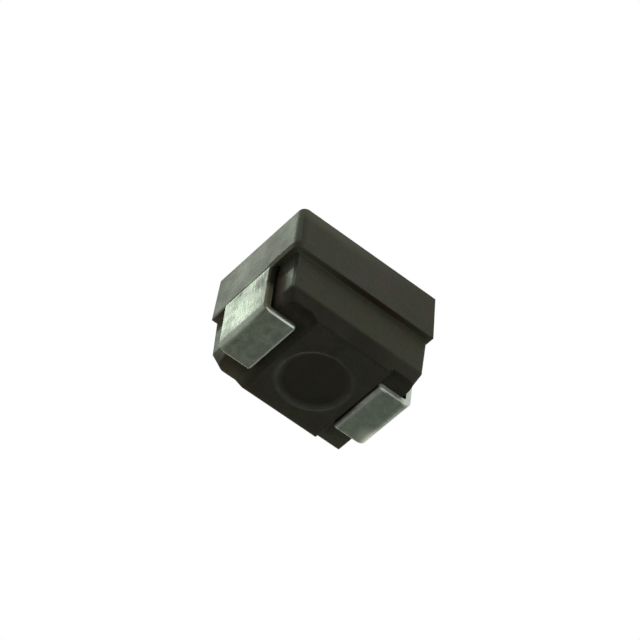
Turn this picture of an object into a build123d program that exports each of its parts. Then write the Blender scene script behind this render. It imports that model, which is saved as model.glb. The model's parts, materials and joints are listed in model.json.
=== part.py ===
from build123d import *
from math import radians, tan
import os

os.makedirs("parts", exist_ok=True)

# Shielded surface-mount inductor: a wound ferrite bobbin in a ferrite sleeve, moulded into a
# two-level case, with two sheet terminals folded under it. Sizes are in millimetres, angles in degrees.
# X runs along the length, from terminal to terminal, Y across the width, and Z up from the board.
# The origin lies on the board, under the middle of the case's upper level.

# Case, upper level
case_length = 4.20  # at the parting plane
case_width = 3.26
case_top_z = 3.26
parting_share = 0.54  # of the height, up to the parting plane
upper_draft = 1.2
upper_corner_radius = 0.08
upper_worn_radius = 0.22  # of the corner that is worn rounder than the other three
upper_rim_radius = 0.04

# Case, lower level
ledge = 0.09  # how far the lower level stands back on each side
lower_offset_x = 0.04  # the two halves of the mould stood this far out of line
lower_offset_y = 0.08
lower_draft_inset = 0.02
lower_corner_radius = 0.06
bevel_start_z = 0.58
bevel_inset = 0.11
base_corner_radius = 0.34  # three corners of the base are worn this round, the fourth is crisp
base_standoff = 0.04  # air between the base and the board
base_rim_radius = 0.03
left_ramp_length = 0.22  # slope from the shelf down to the base at each end
right_ramp_length = 0.02

# Ejector pin mark in the middle of the base
mark_offset_y = 0.11
mark_radius = 0.91
mark_depth = 0.03
mark_ridge_width = 0.09
mark_ridge_height = 0.015

# Terminals
strip_offset_y = 0.04  # the terminals and the coil stood this far off the middle
terminal_standout = 0.14  # from the case's end to the terminal's outer face
terminal_width = 1.74
terminal_thickness = 0.18
foot_length = 0.97
upper_bend_radius = 0.12  # inside the bend
lower_bend_radius = 0.05
strip_edge_radius = 0.06
cut_end_radius = 0.08
foot_seat_gap = 0.01  # between the foot and the shelf above it
foot_end_gap = 0.03  # between the foot's cut end and the base
tab_gap = 0.10  # between the tab's inner end and the coil
lock_notch_length = 0.14
lock_notch_depth = 0.20

# Coil
moulding_over_sleeve = 0.24
end_wall = 0.75  # moulding between the case's end and the coil
sleeve_wall = 0.20
sleeve_chamfer = 0.03
bobbin_clearance = 0.03
flange_thickness = 0.30
core_share = 0.42  # of the flange's radius
winding_share = 0.74
wire_diameter = 0.14
wire_notch_side_gap = 0.08
wire_notch_floor_gap = 0.03
wire_standoff = 0.03  # between a lead-out wire and the tab below it

# Welds of the lead-out wires to the tabs
weld_radius = 0.14
weld_height = 0.19
weld_chamfer = 0.08
weld_inset = 0.15  # from the tab's inner end to the weld's middle

# One overrun serves every cut
overrun = 0.50

# Places that follow from the sizes
parting_z = parting_share * case_top_z
case_end_x = case_length / 2
sleeve_end_x = case_end_x - end_wall
tab_end_x = sleeve_end_x + tab_gap
weld_x = tab_end_x + weld_inset
terminal_end_x = case_end_x + terminal_standout
foot_end_x = terminal_end_x - foot_length
base_end_x = foot_end_x - foot_end_gap
shelf_z = terminal_thickness + foot_seat_gap
tab_middle_z = parting_z - terminal_thickness / 2
upper_draft_inset = (case_top_z - parting_z) * tan(radians(upper_draft))

lower_middle = (lower_offset_x, lower_offset_y)
lower_length = case_length - 2 * ledge
lower_width = case_width - 2 * ledge
bevel_length = lower_length - 2 * lower_draft_inset
bevel_width = lower_width - 2 * lower_draft_inset
base_length = bevel_length - 2 * bevel_inset
base_width = bevel_width - 2 * bevel_inset

coil_z = parting_z + wire_standoff + wire_diameter / 2
coil_middle = (strip_offset_y, coil_z)
coil_axis = Axis((0, strip_offset_y, coil_z), (1, 0, 0))
coil_plane = Plane(origin=(0, strip_offset_y, coil_z), x_dir=(1, 0, 0), z_dir=(0, -1, 0))
sleeve_radius = case_top_z - moulding_over_sleeve - coil_z
bore_radius = sleeve_radius - sleeve_wall
flange_radius = bore_radius - bobbin_clearance
flange_inner_x = sleeve_end_x - flange_thickness
core_radius = core_share * flange_radius
winding_radius = winding_share * flange_radius
groove_radius = winding_radius - wire_diameter / 4
wire_y = winding_radius - wire_diameter / 2
notch_floor_y = winding_radius - wire_diameter - wire_notch_floor_gap
notch_half_width = wire_diameter / 2 + wire_notch_side_gap


def export_both_ends(piece, name):
    """Write the right-hand piece, and the same piece turned half round Z for the left end."""
    placed = []
    for side, turn in (("right", 0), ("left", 180)):
        with BuildPart() as turned:
            with Locations((0, strip_offset_y)):
                add(piece.part, rotation=(0, 0, turn))
        turned.part.label = f"{side}_{name}"
        export_step(turned.part, f"parts/{side}_{name}.step")
        placed.append(turned.part)
    return placed


# Terminal: one strip swept along its folded middle line, with notches that lock it in the moulding
with BuildPart() as terminal:
    half_sheet = terminal_thickness / 2
    with BuildLine(Plane.XZ) as fold_line:
        FilletPolyline(
            (tab_end_x, tab_middle_z),
            (terminal_end_x - half_sheet, tab_middle_z),
            (terminal_end_x - half_sheet, half_sheet),
            (foot_end_x, half_sheet),
            radius=[upper_bend_radius + half_sheet, lower_bend_radius + half_sheet],
        )
    with BuildSketch(Plane(origin=fold_line.line @ 0, x_dir=(0, 1, 0), z_dir=fold_line.line % 0)):
        Rectangle(terminal_width, terminal_thickness)
    sweep()
    notch_middle_x = weld_x + weld_radius + lock_notch_length / 2
    with BuildSketch(Plane.XY.offset(tab_middle_z)):
        with Locations((notch_middle_x, terminal_width / 2), (notch_middle_x, -terminal_width / 2)):
            Rectangle(lock_notch_length, 2 * lock_notch_depth)
    extrude(amount=terminal_thickness, both=True, mode=Mode.SUBTRACT)
    foot_face = terminal.faces().filter_by(Axis.Z).sort_by(Axis.Z)[0]
    end_face = terminal.faces().filter_by(Axis.X).sort_by(Axis.X)[-1]
    long_edges = foot_face.edges().filter_by(Axis.X) + end_face.edges().filter_by(Axis.Z)
    fillet(long_edges, strip_edge_radius)
    fillet(terminal.faces().filter_by(Axis.Z).sort_by(Axis.Z)[0].edges().sort_by(Axis.X)[0], cut_end_radius)

# Bobbin core: a drum with a notch in each flange, on opposite sides, for the lead-out wires
with BuildPart() as bobbin_core:
    with BuildSketch(coil_plane):
        with BuildLine():
            Polyline(
                (-sleeve_end_x, 0),
                (-sleeve_end_x, flange_radius),
                (-flange_inner_x, flange_radius),
                (-flange_inner_x, core_radius),
                (flange_inner_x, core_radius),
                (flange_inner_x, flange_radius),
                (sleeve_end_x, flange_radius),
                (sleeve_end_x, 0),
                close=True,
            )
        make_face()
    revolve(axis=coil_axis)
    for side in (1, -1):
        notch_x = side * (flange_inner_x + sleeve_end_x) / 2
        notch_y = side * (notch_floor_y + bore_radius) / 2
        with BuildSketch(Plane.XY.offset(coil_z)):
            with Locations((notch_x, notch_y + strip_offset_y)):
                Rectangle(flange_thickness, bore_radius - notch_floor_y)
        extrude(amount=notch_half_width, both=True, mode=Mode.SUBTRACT)
bobbin_core.part.label = "bobbin_core"
export_step(bobbin_core.part, "parts/bobbin_core.step")

# Winding: one solid whose outside shows the turns, side by side between the flanges
with BuildPart() as winding:
    turns = round(2 * flange_inner_x / wire_diameter)
    pitch = 2 * flange_inner_x / turns
    outline = [(-flange_inner_x, core_radius), (-flange_inner_x, groove_radius)]
    for turn in range(turns):
        turn_start_x = turn * pitch - flange_inner_x
        outline.append((turn_start_x + pitch / 2, winding_radius))
        outline.append((turn_start_x + pitch, groove_radius))
    outline.append((flange_inner_x, core_radius))
    with BuildSketch(coil_plane):
        with BuildLine():
            Polyline(*outline, close=True)
        make_face()
    revolve(axis=coil_axis)
winding.part.label = "winding"
export_step(winding.part, "parts/winding.step")

# Shield sleeve: a ferrite tube over the bobbin, chamfered at its mouths
with BuildPart() as shield_sleeve:
    with BuildSketch(Plane.YZ.offset(-sleeve_end_x)):
        with Locations(coil_middle):
            Circle(sleeve_radius)
            Circle(bore_radius, mode=Mode.SUBTRACT)
    extrude(amount=2 * sleeve_end_x)
    chamfer(shield_sleeve.edges().filter_by(GeomType.CIRCLE), sleeve_chamfer)
shield_sleeve.part.label = "shield_sleeve"
export_step(shield_sleeve.part, "parts/shield_sleeve.step")

# Lead-out wire: from the winding's end, through the flange notch, to the weld on the tab
with BuildPart() as lead_wire:
    with BuildSketch(Plane.YZ.offset(flange_inner_x)):
        with Locations((wire_y, coil_z)):
            Circle(wire_diameter / 2)
    extrude(amount=weld_x - flange_inner_x)

# Weld: a nugget on the tab that closes round the wire's end
with BuildPart() as weld:
    with BuildSketch(Plane.XY.offset(parting_z)):
        with Locations((weld_x, wire_y)):
            Circle(weld_radius)
    extrude(amount=weld_height)
    chamfer(weld.edges().sort_by(Axis.Z)[-1], weld_chamfer)
    add(lead_wire.part, mode=Mode.SUBTRACT)

terminals = export_both_ends(terminal, "terminal")
lead_wires = export_both_ends(lead_wire, "lead_wire")
welds = export_both_ends(weld, "weld")

# Case: two drafted levels that meet at the parting plane, and a bevelled base between two shelves that
# the terminals' feet lie under
with BuildPart() as case:
    for level_z, inset in ((parting_z, 0), (case_top_z, upper_draft_inset)):
        with BuildSketch(Plane.XY.offset(level_z)):
            upper_outline = Rectangle(case_length - 2 * inset, case_width - 2 * inset)
            corners = upper_outline.vertices().sort_by(lambda corner: corner.X + corner.Y)
            fillet(corners[:1], upper_worn_radius - inset)
            fillet(corners[1:], upper_corner_radius - inset)
    loft(ruled=True)
    fillet(case.faces().sort_by(Axis.Z)[-1].edges(), upper_rim_radius)

    with BuildSketch(Plane.XY.offset(parting_z)):
        with Locations(lower_middle):
            RectangleRounded(lower_length, lower_width, lower_corner_radius)
    with BuildSketch(Plane.XY.offset(bevel_start_z)):
        with Locations(lower_middle):
            RectangleRounded(bevel_length, bevel_width, lower_corner_radius)
    with BuildSketch(Plane.XY.offset(base_standoff)):
        with Locations(lower_middle):
            base_outline = Rectangle(base_length, base_width)
        corners = base_outline.vertices().sort_by(lambda corner: corner.X + corner.Y)
        fillet(corners[:-1], base_corner_radius)
        fillet(corners[-1:], lower_corner_radius)
    loft(ruled=True)

    for side, ramp_length in ((-1, left_ramp_length), (1, right_ramp_length)):
        with BuildSketch(Plane.XZ):
            with BuildLine():
                Polyline(
                    (side * (case_end_x + overrun), -overrun),
                    (side * (case_end_x + overrun), shelf_z),
                    (side * base_end_x, shelf_z),
                    (side * (base_end_x - ramp_length), base_standoff),
                    (side * (base_end_x - ramp_length), -overrun),
                    close=True,
                )
            make_face()
        extrude(amount=case_width, both=True, mode=Mode.SUBTRACT)
    fillet(case.faces().sort_by(Axis.Z)[0].edges(), base_rim_radius)

    # Ejector pin mark: a shallow round sink with a low ridge round it
    mark_origin = (lower_offset_x, mark_offset_y, base_standoff)
    mark_plane = Plane(origin=mark_origin, x_dir=(1, 0, 0), z_dir=(0, -1, 0))
    ridge_inner_radius = mark_radius - mark_ridge_width / 2
    with BuildSketch(mark_plane):
        with BuildLine():
            Polyline(
                (ridge_inner_radius, 0),
                (mark_radius, -mark_ridge_height),
                (ridge_inner_radius + mark_ridge_width, 0),
                close=True,
            )
        make_face()
    revolve(axis=Axis(mark_plane.origin, (0, 0, 1)))
    with BuildSketch(mark_plane):
        with BuildLine():
            Polyline(
                (0, 0),
                (ridge_inner_radius, 0),
                (ridge_inner_radius - mark_depth, mark_depth),
                (0, mark_depth),
                close=True,
            )
        make_face()
    revolve(axis=Axis(mark_plane.origin, (0, 0, 1)), mode=Mode.SUBTRACT)

    # The space that the moulding leaves for the coil, the tabs, the wires and the welds
    with BuildSketch(Plane.YZ.offset(-sleeve_end_x)):
        with Locations(coil_middle):
            Circle(bore_radius)
    extrude(amount=2 * sleeve_end_x, mode=Mode.SUBTRACT)
    for held in [shield_sleeve.part, *terminals, *lead_wires, *welds]:
        add(held, mode=Mode.SUBTRACT)
case.part.label = "case"
export_step(case.part, "parts/case.step")
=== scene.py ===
import json
from math import pi

import bpy
from mathutils import Matrix, Vector

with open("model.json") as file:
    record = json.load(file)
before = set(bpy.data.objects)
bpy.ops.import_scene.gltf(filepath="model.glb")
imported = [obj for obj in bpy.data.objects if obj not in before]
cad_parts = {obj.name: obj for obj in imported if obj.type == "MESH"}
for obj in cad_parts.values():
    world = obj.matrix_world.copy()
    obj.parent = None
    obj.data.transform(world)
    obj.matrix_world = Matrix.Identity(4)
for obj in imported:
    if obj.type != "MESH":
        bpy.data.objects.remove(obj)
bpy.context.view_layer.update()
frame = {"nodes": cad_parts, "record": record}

MM = 0.001  # places and lengths are written in millimetres
MARK_X, MARK_Y = 0.04, 0.11  # middle of the ejector pin mark
STRIP_Y = 0.04  # middle line of the terminals
STRIP_HALF_WIDTH = 0.862  # where the painted highlights on their side rims are palest

CASE_TONES = {
    "dark": (0.0275, 0.0295, 0.0165),
    "light": (0.0415, 0.0455, 0.0260),
    "brown": (0.043, 0.033, 0.021),
    "mauve": (0.040, 0.036, 0.033),
    "grain": (0.054, 0.055, 0.036),
    "speck": (0.11, 0.11, 0.085),
    "base": (0.012, 0.009, 0.006),
    "pin_mark": (0.020, 0.016, 0.010),
    "ring": (0.088, 0.097, 0.086),
    "low_shade": (0.014, 0.012, 0.009),
    "olive": (0.070, 0.061, 0.036),
    "corner": (0.046, 0.034, 0.018),
    "lit_wall_patch": (0.122, 0.140, 0.110),
    "far_lit_wall": (0.072, 0.094, 0.062),
    "lit_gap_behind_leg": (0.085, 0.066, 0.046),
    "ledge_patch": (0.135, 0.120, 0.090),
    "lit_ledge": (0.070, 0.071, 0.052),
    "ledge_shade": (0.034, 0.022, 0.014),
    "parting": (0.040, 0.039, 0.026),
    "top_rim": (0.118, 0.120, 0.088),
    "lit_end_edges": (0.085, 0.096, 0.070),
    "near_wall": (0.012, 0.012, 0.007),
    "ledge_stain_and_shadow": (0.012, 0.011, 0.007),
}
TIN_TONES = {
    "dark": (0.222, 0.256, 0.212),
    "light": (0.258, 0.294, 0.245),
    "streak": (0.19, 0.205, 0.165),
    "tin_shade": (0.092, 0.110, 0.080),
    "fold_highlight": (0.42, 0.46, 0.39),
    "bend_shade_line": (0.018, 0.015, 0.010),
    "bloom_light": (0.292, 0.326, 0.246),
    "bloom_dark": (0.170, 0.192, 0.142),
    "bloom_grain": (0.158, 0.184, 0.152),
    "bloom_brown": (0.19, 0.165, 0.125),
    "bloom_green": (0.175, 0.245, 0.180),
    "rim_highlight": (0.48, 0.50, 0.44),
    "far_rim_highlight": (0.74, 0.79, 0.72),
    "tan_end": (0.30, 0.22, 0.15),
    "brown_end": (0.026, 0.019, 0.010),
    "lit_corner": (0.52, 0.54, 0.46),
    "smudge": (0.10, 0.095, 0.065),
    "sheared": (0.100, 0.098, 0.055),
    "leg_side_shadow": (0.020, 0.017, 0.010),
    "glint": (0.56, 0.62, 0.55),
    "edge_highlight": (0.85, 0.93, 0.89),
}


# ---- node helpers

class Graph:
    """A material's nodes, built by short calls that return sockets."""

    def __init__(self, name):
        self.material = bpy.data.materials.new(name)
        self.material.use_nodes = True
        self.nodes = self.material.node_tree.nodes
        self.links = self.material.node_tree.links
        self.nodes.clear()
        self.output = self.nodes.new("ShaderNodeOutputMaterial")
        self.position = self.nodes.new("ShaderNodeTexCoord").outputs["Object"]

    def put(self, socket, value):
        if isinstance(value, bpy.types.NodeSocket):
            self.links.new(value, socket)
        elif value is not None:
            socket.default_value = value

    def node(self, kind, inputs=None, **settings):
        new = self.nodes.new(kind)
        for key, value in settings.items():
            setattr(new, key, value)
        for key, value in (inputs or {}).items():
            self.put(new.inputs[key], value)
        return new

    def math(self, operation, a, b=None):
        new = self.node("ShaderNodeMath", operation=operation)
        for socket, value in zip(new.inputs, (a, b)):
            self.put(socket, value)
        return new.outputs[0]

    def chain(self, operation, values):
        result = values[0]
        for value in values[1:]:
            result = self.math(operation, result, value)
        return result

    def product(self, *values):
        """Of masks: 1 only where all of them are."""
        return self.chain("MULTIPLY", values)

    def largest(self, *values):
        return self.chain("MAXIMUM", values)

    def total(self, *values):
        return self.chain("ADD", values)

    def without(self, value, mask):
        """The value, taken down to 0 where the mask is 1."""
        return self.product(value, self.math("SUBTRACT", 1.0, mask))

    def stretch(self, scale=(1, 1, 1), shift=(0, 0, 0)):
        return self.node("ShaderNodeMapping", {
            "Vector": self.position, "Scale": scale, "Location": shift,
        }).outputs[0]

    def noise(self, size, detail=3.0, roughness=0.5, distortion=0.0, vector=None):
        """Noise whose features are about size millimetres across."""
        return self.node("ShaderNodeTexNoise", {
            "Vector": vector or self.position, "Scale": 1 / (size * MM), "Detail": detail,
            "Roughness": roughness, "Distortion": distortion,
        }).outputs["Fac"]

    def ramp(self, value, low, high, out_low=0.0, out_high=1.0, smooth=True):
        return self.node("ShaderNodeMapRange", {
            "Value": value, "From Min": low, "From Max": high,
            "To Min": out_low, "To Max": out_high,
        }, interpolation_type="SMOOTHSTEP" if smooth else "LINEAR").outputs["Result"]

    def zone(self, place, low, high, at_low, at_high):
        """A ramp between two places in millimetres."""
        return self.ramp(place, low * MM, high * MM, at_low, at_high)

    def above(self, place, low, high):
        return self.zone(place, low, high, 0.0, 1.0)

    def below(self, place, low, high):
        return self.zone(place, low, high, 1.0, 0.0)

    def between(self, place, low, full_low, full_high, high):
        return self.product(self.above(place, low, full_low), self.below(place, full_high, high))

    def blob(self, middle, reach):
        """1 at a place in millimetres, falling to 0 at reach millimetres from it."""
        distance = self.node("ShaderNodeVectorMath", {
            0: self.position, 1: tuple(c * MM for c in middle),
        }, operation="DISTANCE")
        return self.below(distance.outputs["Value"], 0.0, reach)

    def mix(self, factor, a, b):
        new = self.node("ShaderNodeMix", data_type="RGBA")
        self.put(new.inputs[0], factor)
        for socket, value in ((new.inputs[6], a), (new.inputs[7], b)):
            self.put(socket, (*value, 1.0) if isinstance(value, tuple) else value)
        return new.outputs[2]

    def paint(self, tone, colour, *masks):
        """The tone with a colour laid over it where all the masks are 1."""
        return self.mix(self.product(*masks), tone, colour)

    def axes(self):
        return self.node("ShaderNodeSeparateXYZ", {"Vector": self.position}).outputs

    def rounded(self, radius):
        return self.node("ShaderNodeBevel", {"Radius": radius}, samples=8).outputs["Normal"]

    def bump(self, height, depth, normal=None):
        """depth is the height in millimetres that a full swing stands for."""
        return self.node("ShaderNodeBump", {
            "Height": height, "Distance": depth * MM, "Strength": 1.0, "Normal": normal,
        }).outputs["Normal"]

    def finish(self, **inputs):
        shader = self.node("ShaderNodeBsdfPrincipled", inputs)
        self.links.new(shader.outputs[0], self.output.inputs["Surface"])
        return self.material


# ---- materials

def mould_compound():
    g = Graph("mould_compound")
    x, y, z = g.axes()
    cloud = g.noise(0.9, detail=4.0, roughness=0.6)
    grain = g.noise(0.07, detail=2.0, roughness=0.6)
    speck = g.ramp(g.noise(0.045, detail=1.0), 0.66, 0.80)
    tone = g.mix(g.ramp(cloud, 0.30, 0.72), CASE_TONES["dark"], CASE_TONES["light"])
    for name, size, shift, low, high, strength in (
        ("brown", 0.55, (0.003, 0.007, 0.001), 0.44, 0.62, 0.80),
        ("mauve", 0.40, (0.009, 0.002, 0.005), 0.50, 0.66, 0.75),
    ):
        mottle = g.noise(size, detail=4.0, roughness=0.6, vector=g.stretch(shift=shift))
        tone = g.paint(tone, CASE_TONES[name], g.ramp(mottle, low, high), strength)
    tone = g.paint(tone, CASE_TONES["grain"], g.ramp(grain, 0.35, 0.75, 0.0, 0.5))
    tone = g.paint(tone, CASE_TONES["speck"], speck, 0.30)

    # Ejector pin mark: dark and smooth inside, with a pale ring that is paler towards the far side
    flattened = g.node("ShaderNodeVectorMath", {
        0: g.stretch(shift=(-MARK_X * MM, -MARK_Y * MM, 0)), 1: (1, 1, 0),
    }, operation="MULTIPLY").outputs[0]
    from_mark = g.node("ShaderNodeVectorMath", {0: flattened}, operation="LENGTH").outputs["Value"]
    on_base = g.below(z, 0.10, 0.14)
    # The base is painted darker all over: painted shade on the underside
    tone = g.paint(tone, CASE_TONES["base"], on_base, 0.26)
    tone = g.paint(tone, CASE_TONES["pin_mark"], g.below(from_mark, 0.75, 0.85), on_base, 0.32)
    ring = g.between(from_mark, 0.71, 0.84, 0.92, 1.02)
    pale_ring = g.product(ring, on_base, g.ramp(g.noise(0.5, detail=3.0), 0.32, 0.66, 0.45, 1.0),
                       g.zone(y, -0.7, 0.9, 0.30, 1.0))
    tone = g.paint(tone, CASE_TONES["ring"], pale_ring, 0.60)

    # Painted shade: the bevel is painted darker towards the bottom, most along the near side, and
    # so is the base's rim beside the right foot's cut end, which takes down a highlight there
    shade_patchiness = g.ramp(g.noise(0.6, detail=4.0), 0.25, 0.6, 0.7, 1.0)
    shade_strength = g.largest(g.zone(y, -1.25, -1.0, 0.88, 0.35), g.zone(x, -1.60, -1.35, 0.70, 0.0))
    shade_strength = g.product(shade_strength, g.zone(y, 0.9, 1.2, 1.0, 0.35), g.zone(x, 0.4, 1.5, 1.0, 0.62))
    end_rim_shade = g.product(g.between(x, 1.13, 1.18, 1.25, 1.27), g.below(z, 0.12, 0.17))
    low_shade = g.product(g.between(z, 0.0405, 0.048, 0.50, 0.68), shade_patchiness, g.largest(shade_strength, end_rim_shade))
    tone = g.paint(tone, CASE_TONES["low_shade"], low_shade)

    # The far left corner of the base is browner
    low_down = g.below(z, 0.45, 0.60)
    tone = g.paint(tone, CASE_TONES["olive"], g.blob((-1.38, 1.45, 0.10), 0.42), low_down, 0.85)
    tone = g.paint(tone, CASE_TONES["corner"], g.blob((-1.80, 1.15, 0.20), 0.65), low_down, 0.80)

    # The left end of the lower level: painted light on the lit patches of the end wall on both
    # sides of the terminal, a paler far corner of the ledge, and brown painted light in the shaded
    # gap beside the leg
    end_wall = g.below(x, -1.92, -1.88)
    # Painted light: the lit patch of the end wall on the near side of the terminal
    lit_wall_patch = g.product(end_wall, g.below(y, -1.25, -1.0), g.between(z, 0.50, 0.62, 0.88, 1.16))
    tone = g.paint(tone, CASE_TONES["lit_wall_patch"], lit_wall_patch, 0.85)
    # Painted light: the lit patch of the end wall on the far side of the terminal
    far_lit_wall = g.product(end_wall, g.above(y, 0.85, 1.0), g.below(z, 1.70, 1.74))
    tone = g.paint(tone, CASE_TONES["far_lit_wall"], far_lit_wall, 0.5)
    # Brown painted light that lifts the shade in the gap beside the leg
    lit_gap_behind_leg = g.product(end_wall, g.between(y, -1.15, -1.0, -0.80, -0.70), g.below(z, 1.5, 1.7))
    tone = g.paint(tone, CASE_TONES["lit_gap_behind_leg"], lit_gap_behind_leg, 0.9)
    ledge_patch = g.product(g.blob((-2.10, 1.50, 1.76), 0.60), g.below(z, 1.78, 1.80))
    tone = g.paint(tone, CASE_TONES["ledge_patch"], ledge_patch, 0.9)

    # The near ledge is painted lighter at its left end, as painted light on its down-facing face,
    # and darker brown at its middle, as painted shade
    near_ledge = g.product(g.between(z, 1.74, 1.755, 1.765, 1.78), g.below(y, -1.46, -1.40))
    tone = g.paint(tone, CASE_TONES["lit_ledge"], near_ledge, g.zone(x, -1.5, -0.4, 0.75, 0.0))
    tone = g.paint(tone, CASE_TONES["ledge_shade"], near_ledge, g.blob((0.35, -1.58, 1.76), 1.3))

    # Painted shade along the left end's parting edge, in place of a rounded edge that faces down;
    # widest beside the terminal
    edge_wave = g.ramp(g.noise(0.25, detail=3.0), 0.3, 0.7, 0.0, 0.05 * MM, smooth=False)
    edge_rise = g.total(edge_wave, g.zone(y, -0.70, -0.30, 0.09 * MM, 0.0))
    parting = g.product(g.zone(g.math("SUBTRACT", z, edge_rise), 1.83, 1.90, 0.92, 0.0),
                        g.below(x, -2.04, -1.90), g.above(z, 1.70, 1.75),
                        g.zone(y, 0.9, 1.2, 1.0, 0.45))
    tone = g.paint(tone, CASE_TONES["parting"], parting)

    # The top rim is paler along the near side
    top_rim = g.product(g.above(z, 2.75, 3.18), g.zone(x, -1.9, 1.4, 0.65, 0.10),
                        g.zone(y, -1.5, -1.4, 1.0, 0.3))
    tone = g.paint(tone, CASE_TONES["top_rim"], top_rim)

    # The left end face is painted lighter towards its two upright edges: painted light where the
    # lit face turns round its corners
    lit_end_edges = g.product(g.below(x, -2.02, -1.98), g.above(z, 1.92, 2.10),
                          g.above(g.math("ABSOLUTE", y), 1.05, 1.40))
    tone = g.paint(tone, CASE_TONES["lit_end_edges"], lit_end_edges, 0.6)

    # The near side is painted darker on its lower level, as painted shade under the ledge, and
    # towards the right on the upper one
    near_wall = g.below(y, -1.50, -1.42)
    low_wall = g.product(near_wall, g.below(z, 1.70, 1.74), g.above(x, -1.8, -1.0))
    far_end = g.product(near_wall, g.above(z, 1.76, 1.80), g.above(x, 0.2, 1.6))
    tone = g.paint(tone, CASE_TONES["near_wall"], g.largest(low_wall, far_end), 0.20)

    # A dark stain and the ledge's painted shadow on the left end wall under the ledge, lowest at
    # the near side
    stain_and_shadow_height = g.math("SUBTRACT", z, g.zone(y, -0.9, -0.7, 0.0, 0.13 * MM))
    ledge_stain_and_shadow = g.product(end_wall, g.above(stain_and_shadow_height, 1.10, 1.40), g.below(z, 1.72, 1.75),
                            g.zone(y, -0.9, -0.7, 0.75, 0.55))
    tone = g.paint(tone, CASE_TONES["ledge_stain_and_shadow"], ledge_stain_and_shadow)

    # The painted shade and the stain under the ledge are matte
    matte = g.largest(parting, end_rim_shade, g.product(low_shade, 0.8), g.ramp(ledge_stain_and_shadow, 0.0, 0.5))
    rough = g.total(g.ramp(cloud, 0.2, 0.8, 0.46, 0.58), g.product(matte, 0.30))

    # Rounder edges at the far left corner of the base and on the ridge round the pin mark
    corner_radius = g.product(g.blob((-1.95, 1.45, 0.40), 0.80), 0.15 * MM)
    edge_radius = g.total(0.05 * MM, corner_radius, g.product(ring, on_base, 0.06 * MM))
    relief = g.total(g.product(grain, 0.6), g.product(g.noise(0.35, detail=2.0), 1.4))
    return g.finish(**{
        "Base Color": tone, "Roughness": rough, "Specular IOR Level": 0.12,
        "Specular Tint": (0.93, 1.0, 0.80, 1.0),
        "Normal": g.bump(relief, 0.006, g.rounded(edge_radius)),
    })


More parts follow.
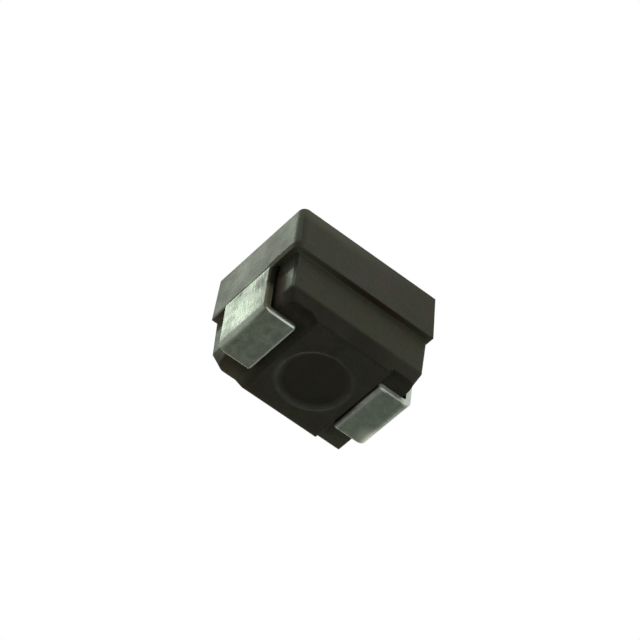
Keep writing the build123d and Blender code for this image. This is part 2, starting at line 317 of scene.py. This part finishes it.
def tinned_sheet():
    g = Graph("tinned_sheet")
    x, y, z = g.axes()
    along = g.math("ABSOLUTE", x)
    across = g.math("ABSOLUTE", g.math("SUBTRACT", y, STRIP_Y * MM))
    left = g.below(x, -0.1, 0.1)
    right = g.above(x, -0.1, 0.1)
    foot = g.below(z, 0.12, 0.25)

    cloud = g.noise(0.8, detail=3.0, roughness=0.55, distortion=0.4)
    streak = g.noise(0.05, detail=3.0, vector=g.stretch((0.25, 1.0, 0.25)))
    mottle = g.noise(0.30, detail=5.0, roughness=0.62, distortion=0.3)
    tone = g.mix(g.ramp(cloud, 0.30, 0.70), TIN_TONES["dark"], TIN_TONES["light"])
    tone = g.paint(tone, TIN_TONES["streak"], g.ramp(streak, 0.35, 0.75, 0.0, 0.14))
    metal = g.ramp(mottle, 0.45, 0.75, 0.70, 0.63)

    # Painted shade on the outer faces at one corner of the foot, at both bends and along the near
    # edge
    tin_shade = g.largest(
        g.product(g.blob((-2.24, -0.80, 0.15), 1.10), 0.97),
        g.zone(z, 1.20, 1.60, 0.0, 0.50),
        g.zone(z, 0.22, 0.55, 0.30, 0.0),
        g.zone(y, -0.68, -0.46, 0.97, 0.0),
    )
    tone = g.paint(tone, TIN_TONES["tin_shade"], tin_shade)

    # A painted highlight on the left fold over the foot
    fold_highlight = g.product(left, g.above(along, 2.10, 2.17), g.between(z, 0.05, 0.11, 0.14, 0.25))
    tone = g.paint(tone, TIN_TONES["fold_highlight"], fold_highlight, 0.45)

    # A dark wavy line of painted shade under the top bend
    bend_wave = g.ramp(g.noise(0.22, detail=3.0), 0.3, 0.7, -0.03 * MM, 0.03 * MM, smooth=False)
    bend_height = g.total(z, bend_wave)
    bend_shade_line = g.product(g.above(bend_height, 1.52, 1.57),
                          g.zone(bend_height, 1.60, 1.67, 1.0, 0.15),
                          g.zone(x, -0.1, 0.1, 0.85, 0.45))
    tone = g.paint(tone, TIN_TONES["bend_shade_line"], bend_shade_line)
    metal = g.largest(metal, bend_shade_line)

    # The solder faces have a grey oxide bloom with darker spots, greener on the right foot
    under = g.below(z, 0.01, 0.05)
    bloom = g.mix(g.ramp(mottle, 0.33, 0.67), TIN_TONES["bloom_light"], TIN_TONES["bloom_dark"])
    spots = g.noise(0.07, detail=3.0, roughness=0.6)
    bloom = g.paint(bloom, TIN_TONES["bloom_grain"], g.ramp(spots, 0.40, 0.66, 0.0, 0.60))
    patches = g.noise(0.4, detail=3.0)
    bloom = g.paint(bloom, TIN_TONES["bloom_brown"], g.ramp(patches, 0.52, 0.70, 0.0, 0.35))
    bloom = g.paint(bloom, TIN_TONES["bloom_green"], right, 0.35)
    tone = g.paint(tone, bloom, under, 0.9)
    metal = g.without(metal, g.product(under, 0.45))

    # Painted highlights along the rims round the feet
    cut_rim = g.largest(g.zone(along, 1.31, 1.37, 0.72, 0.0),
                        g.product(right, g.below(along, 1.32, 1.43)))
    side_rim = g.above(across, 0.845, STRIP_HALF_WIDTH)
    bend_rim = g.product(g.above(along, 2.13, 2.19), right)
    rim_highlight = g.product(g.largest(cut_rim, side_rim, bend_rim), foot,
                    g.ramp(g.noise(0.3, detail=2.0), 0.35, 0.6, 0.55, 0.95))
    tone = g.paint(tone, TIN_TONES["rim_highlight"], rim_highlight)
    # A brighter painted highlight along the left foot's far rim
    far_rim_highlight = g.product(g.above(y, STRIP_Y + 0.825, STRIP_Y + STRIP_HALF_WIDTH), left, foot,
                        g.zone(along, 2.0, 2.2, 0.85, 0.2))
    tone = g.paint(tone, TIN_TONES["far_rim_highlight"], far_rim_highlight)

    # The right foot's cut end: tan, and stained brown towards the far side
    tan_end = g.product(cut_rim, right, foot, g.above(z, 0.02, 0.10),
                        g.ramp(mottle, 0.3, 0.6, 0.6, 0.9))
    tone = g.paint(tone, TIN_TONES["tan_end"], tan_end)
    brown_end = g.product(g.below(along, 1.285, 1.345), right, foot,
                          g.zone(y, -0.3, 0.35, 0.42, 0.97))
    tone = g.paint(tone, TIN_TONES["brown_end"], brown_end)
    metal = g.without(metal, brown_end)

    # A broad patch of painted light on the right foot's far corner
    tone = g.paint(tone, TIN_TONES["lit_corner"], g.blob((2.18, 0.62, 0.0), 0.50), foot, right)

    # Grey-brown smudges near the top of the left leg
    torn = g.noise(0.22, detail=6.0, roughness=0.75,
                   vector=g.stretch((1, 1, 0.6), (0.004, 0.001, 0.006)))
    smudge = g.largest(
        g.product(g.blob((-2.24, -0.50, 1.10), 0.50), g.ramp(torn, 0.38, 0.60)),
        g.product(g.blob((-2.24, 0.35, 1.30), 0.5), g.ramp(mottle, 0.56, 0.66)),
    )
    tone = g.paint(tone, TIN_TONES["smudge"], smudge, 0.42)

    # Sheared near sides: on the left terminal olive, partly a stain and partly painted shade, with
    # a painted shadow higher up and a painted highlight along the foot's edge under it; on the
    # right terminal a painted glint
    sheared = g.below(y, -0.80, -0.765)
    tone = g.paint(tone, TIN_TONES["sheared"], sheared, left, g.zone(z, 0.09, 0.11, 0.0, 0.85))
    # Painted shadow on the upper part of the left leg's sheared side
    leg_side_shadow = g.product(sheared, left, g.zone(z, 0.65, 1.05, 0.0, 0.97))
    tone = g.paint(tone, TIN_TONES["leg_side_shadow"], leg_side_shadow)
    metal = g.largest(metal, leg_side_shadow)
    # Painted glint on the right terminal's sheared side
    glint = g.largest(g.zone(along, 1.38, 1.55, 0.95, 0.10), g.above(along, 1.92, 2.06))
    tone = g.paint(tone, TIN_TONES["glint"], sheared, right, glint)
    # Painted highlight along the left foot's near edge
    edge_highlight = g.product(g.below(y, -0.818, -0.798), left, g.below(z, 0.070, 0.095),
                     g.zone(x, -2.15, -1.45, 0.30, 1.0))
    tone = g.paint(tone, TIN_TONES["edge_highlight"], edge_highlight)

    rough = g.total(g.ramp(cloud, 0.3, 0.7, 0.50, 0.42), g.ramp(streak, 0.3, 0.7, 0.0, 0.08),
                    g.product(smudge, 0.2))
    relief = g.total(g.product(streak, 0.35), g.product(g.noise(0.30, detail=2.0), 0.9))
    return g.finish(**{
        "Base Color": tone, "Roughness": rough, "Metallic": metal,
        "Normal": g.bump(relief, 0.005, g.rounded(0.02 * MM)),
    })


def plain_material(name, noise, tones, rough, relief_depth, relief_noise=None, metallic=0.0):
    """A material with one noise for its tone and roughness, for the pieces inside the case."""
    g = Graph(name)
    cloud = g.noise(**noise)
    height = g.noise(**relief_noise) if relief_noise else cloud
    return g.finish(**{
        "Base Color": g.mix(g.ramp(cloud, 0.3, 0.7), *tones),
        "Roughness": g.ramp(cloud, 0.3, 0.7, *rough), "Metallic": metallic,
        "Normal": g.bump(height, relief_depth),
    })


looks = {
    "mould_compound": mould_compound(),
    "tinned_sheet": tinned_sheet(),
    "ferrite": plain_material(
        "ferrite", {"size": 0.06}, ((0.07, 0.07, 0.078), (0.11, 0.11, 0.12)), (0.4, 0.6), 0.004),
    "enamelled_wire": plain_material(
        "enamelled_wire", {"size": 0.2}, ((0.46, 0.16, 0.05), (0.62, 0.27, 0.10)), (0.25, 0.4),
        0.003, relief_noise={"size": 0.08}, metallic=0.9),
    "weld_metal": plain_material(
        "weld_metal", {"size": 0.1, "distortion": 0.5}, ((0.38, 0.37, 0.34), (0.60, 0.59, 0.56)),
        (0.35, 0.55), 0.01, metallic=0.9),
}
for part in frame["record"]["subparts"]:
    body = frame["nodes"][part["node"]]
    for slot in body.material_slots:
        slot.material = looks[part["material_slot"]]


# ---- stage

FLOOR_HALF = 0.5  # metres
FLOOR_Z = -0.02 * MM
AMBIENT_LEVEL = 0.34
AMBIENT_COLOUR = (0.98, 1.0, 0.97, 1)
WHITE = (1, 1, 1, 1)


def pale_floor():
    """A floor that is pale from above and clear from below, so that the underside can be seen."""
    g = Graph("floor_card")
    tone = g.mix(g.ramp(g.noise(9.0, detail=2.0), 0.3, 0.7), (0.80, 0.80, 0.79), (0.83, 0.83, 0.82))
    top = g.node("ShaderNodeBsdfDiffuse", {"Color": tone}).outputs[0]
    clear = g.node("ShaderNodeBsdfTransparent").outputs[0]
    below = g.node("ShaderNodeNewGeometry").outputs["Backfacing"]
    surface = g.node("ShaderNodeMixShader", {0: below, 1: top, 2: clear}).outputs[0]
    g.links.new(surface, g.output.inputs["Surface"])
    return g.material


floor_mesh = bpy.data.meshes.new("floor")
floor_mesh.from_pydata([
    (x * FLOOR_HALF, y * FLOOR_HALF, FLOOR_Z) for x, y in ((-1, -1), (1, -1), (1, 1), (-1, 1))
], [], [(0, 1, 2, 3)])
floor_mesh.materials.append(pale_floor())
floor = bpy.data.objects.new("floor", floor_mesh)
bpy.context.scene.collection.objects.link(floor)
floor.visible_shadow = False
floor.visible_diffuse = False

# The world is white to the camera and in reflections, and a plain soft light otherwise
world = bpy.data.worlds.new("studio")
bpy.context.scene.world = world
world.use_nodes = True
nodes, links = world.node_tree.nodes, world.node_tree.links
nodes.clear()
ray = nodes.new("ShaderNodeLightPath")
seen = ray.outputs["Is Camera Ray"]
for kind in ("Is Glossy Ray", "Is Transmission Ray"):
    either = nodes.new("ShaderNodeMath")
    either.operation = "MAXIMUM"
    links.new(seen, either.inputs[0])
    links.new(ray.outputs[kind], either.inputs[1])
    seen = either.outputs[0]
pick = nodes.new("ShaderNodeMixShader")
links.new(seen, pick.inputs[0])
for socket, colour, strength in (
    (pick.inputs[1], AMBIENT_COLOUR, AMBIENT_LEVEL), (pick.inputs[2], WHITE, 1.0),
):
    background = nodes.new("ShaderNodeBackground")
    background.inputs["Color"].default_value = colour
    background.inputs["Strength"].default_value = strength
    links.new(background.outputs[0], socket)
out = nodes.new("ShaderNodeOutputWorld")
links.new(pick.outputs[0], out.inputs["Surface"])

PART_MIDDLE = Vector((0, 0, 1.6 * MM))


def soft_light(name, direction, distance, size, level, colour):
    """A round lamp; level is how bright a white card that faces it turns."""
    data = bpy.data.lights.new(name, "AREA")
    data.shape = "DISK"
    data.size = size
    data.color = colour
    data.energy = level * pi ** 2 * distance ** 2
    lamp = bpy.data.objects.new(name, data)
    way = Vector(direction).normalized()
    turn = way.to_track_quat("Z", "Y").to_matrix().to_4x4()
    lamp.matrix_world = Matrix.Translation(PART_MIDDLE + way * distance) @ turn
    bpy.context.scene.collection.objects.link(lamp)


soft_light("key_lamp", (-0.31, 0.52, 0.80), 0.12, 0.035, 0.22, (0.90, 1.0, 0.84))
soft_light("side_lamp", (0.10, -0.93, -0.31), 0.14, 0.07, 0.26, (0.97, 1.0, 0.94))
soft_light("low_lamp", (-0.74, 0.54, -0.34), 0.14, 0.06, 0.12, (1.0, 0.97, 0.92))
soft_light("rim_lamp", (0.62, 0.78, -0.05), 0.14, 0.07, 0.35, (1.0, 0.99, 0.96))
soft_light("top_lamp", (0.35, 0.25, 1.00), 0.14, 0.08, 0.42, (1.0, 0.96, 1.0))

# ---- camera, from the fit to the photograph's corners

FRAME_PIXELS = 640
FOCAL_PIXELS = 3000
SENSOR_WIDTH = 36.0  # millimetres
CAMERA_PLACE = (-25.93547, -39.05826, -52.41152)
FRAME_RIGHT = (0.767420, -0.634621, 0.091224)
VIEW_DIRECTION = (0.359713, 0.543959, 0.758100)

camera_data = bpy.data.cameras.new("camera")
camera_data.sensor_width = SENSOR_WIDTH
camera_data.lens = SENSOR_WIDTH * FOCAL_PIXELS / FRAME_PIXELS
camera_data.clip_start = 1 * MM
camera_data.clip_end = 10.0
camera = bpy.data.objects.new("camera", camera_data)
back = -Vector(VIEW_DIRECTION).normalized()
up = back.cross(Vector(FRAME_RIGHT).normalized()).normalized()
right = up.cross(back)
placed = Matrix((right, up, back)).transposed().to_4x4()
placed.translation = [c * MM for c in CAMERA_PLACE]
camera.matrix_world = placed
bpy.context.scene.collection.objects.link(camera)
bpy.context.scene.camera = camera
bpy.context.scene.view_settings.view_transform = "Standard"
